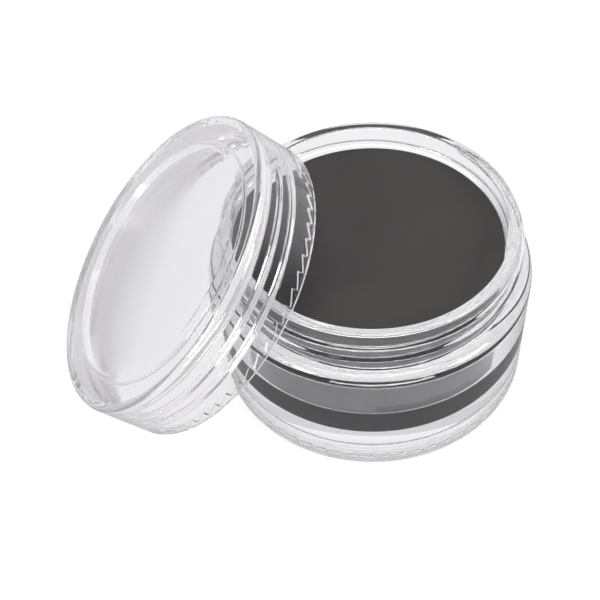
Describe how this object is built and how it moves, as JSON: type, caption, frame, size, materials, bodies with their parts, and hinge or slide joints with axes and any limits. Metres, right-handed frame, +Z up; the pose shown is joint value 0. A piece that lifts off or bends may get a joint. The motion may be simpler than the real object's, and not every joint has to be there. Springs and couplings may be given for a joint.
{
  "type": "screw-top colour pot",
  "caption": "Small clear screw-top pot holding a dark cake of colour, with its clear lid off and leaning on the threaded neck.",
  "frame": {"origin": "on the table, midway between the lid's far side and the pot's, so the middle of the bottom of the bounding box. The pot's axis is at x = 8.6 mm.", "axes": "+Z up along the pot's axis, the pot is on the +X side and the lid leans on it from the -X side, +Y is a quarter turn anticlockwise from +X seen from above"},
  "size_m": [0.0512, 0.034, 0.0289],
  "materials": {
    "clear_pot": "clear polystyrene, polished",
    "clear_lid": "clear polystyrene, polished, faintly lilac",
    "cake": "smooth matte pressed colour"
  },
  "bodies": {
    "pot": {"pot": "clear_pot", "cake": "cake"},
    "lid": {"lid": "clear_lid"}
  },
  "joints": [
    {"name": "lid_swing", "type": "hinge", "parent": "pot", "child": "lid", "pos_m": [0.00966, 0, -0.0047], "axis": [0, 1, 0], "range_deg": [0, 45.6]}
  ]
}
